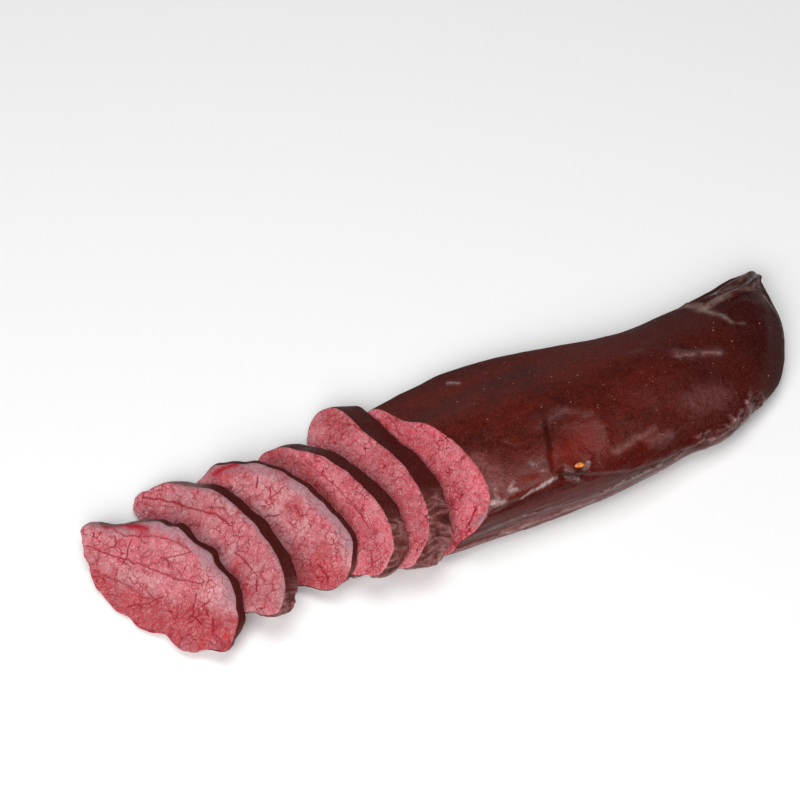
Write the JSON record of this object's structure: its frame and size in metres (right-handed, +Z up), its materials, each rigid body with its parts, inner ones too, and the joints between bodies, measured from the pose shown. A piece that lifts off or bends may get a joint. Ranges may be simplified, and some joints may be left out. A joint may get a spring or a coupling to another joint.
{
  "type": "sliced cured deer loin",
  "caption": "Cured, lightly smoked deer loin, cut on the slant at one end, with loose slices fanned out in front of the cut.",
  "frame": {"origin": "middle of the footprint, at the table", "axes": "+X along the loin towards its uncut end, +Z up; the slices lie towards -X"},
  "size_m": [0.2708, 0.0792, 0.028],
  "materials": {
    "rind": "dark red-brown cured surface, moist and glossy",
    "meat": "pink cut meat, satin, with a dark rind round its rim"
  },
  "bodies": {
    "root": {"loin": "rind", "slice_1": "meat", "slice_2": "meat", "slice_3": "meat", "slice_4": "meat", "slice_5": "meat"}
  },
  "joints": []
}
